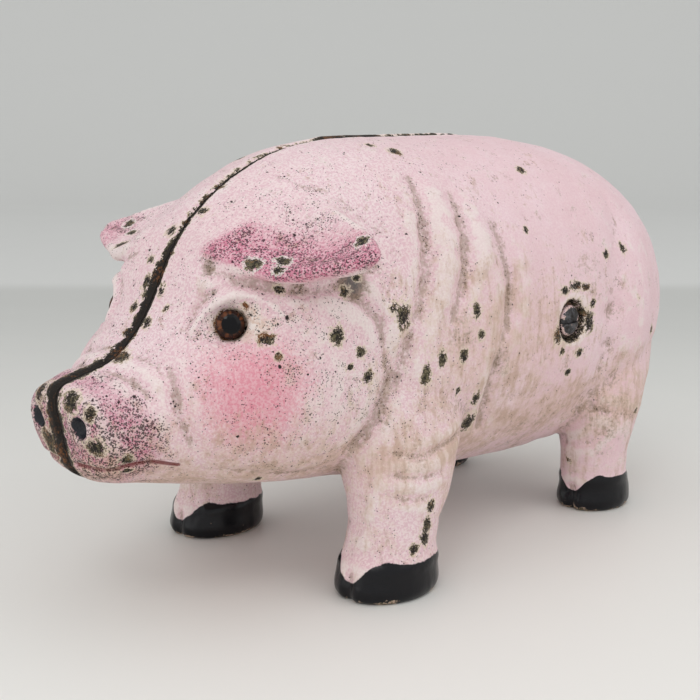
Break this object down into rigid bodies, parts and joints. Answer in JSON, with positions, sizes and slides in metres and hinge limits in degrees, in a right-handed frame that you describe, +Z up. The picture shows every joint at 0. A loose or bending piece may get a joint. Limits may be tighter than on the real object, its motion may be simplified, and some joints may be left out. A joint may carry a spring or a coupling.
{
  "type": "cast-iron piggy bank",
  "caption": "Painted cast-iron pig standing on four hooves, parted down the middle, with glass eyes, a coin slot in its back and one long clamping screw.",
  "frame": {"origin": "on the ground under the middle of the bank, in the plane where the two halves meet", "axes": "+X from the snout to the rump, +Y from the left flank to the right flank, +Z up"},
  "size_m": [0.2838, 0.1346, 0.1464],
  "materials": {
    "painted_iron": "worn semi-matt pink paint over dark cast iron",
    "eye_glass": "glossy amber-brown glass with a black pupil",
    "wire_steel": "dull rusty wire",
    "screw_steel": "dark, worn and slightly rusted",
    "nut_iron": "dark and rough"
  },
  "bodies": {
    "left_side": {"left_half": "painted_iron", "left_eye": "eye_glass", "left_eye_wire": "wire_steel"},
    "right_side": {"right_half": "painted_iron", "right_eye": "eye_glass", "right_eye_wire": "wire_steel", "clamp_nut": "nut_iron"},
    "washer": {"screw_washer": "screw_steel"},
    "screw": {"clamp_screw": "screw_steel"}
  },
  "joints": [
    {"name": "halves_part", "type": "slide", "parent": "left_side", "child": "right_side", "axis": [0, 1, 0], "range_m": [0, 0.07]},
    {"name": "screw_advance", "type": "slide", "parent": "left_side", "child": "washer", "axis": [0, -1, 0], "range_m": [0, 0.00635]},
    {"name": "screw_turn", "type": "hinge", "parent": "washer", "child": "screw", "pos_m": [0.038, -0.055, 0.0805], "axis": [0, -1, 0], "range_deg": [0, 1800]}
  ],
  "couplings": [
    {"joint": "screw_turn", "follows": "screw_advance", "rad_per_m": 4947.4}
  ]
}
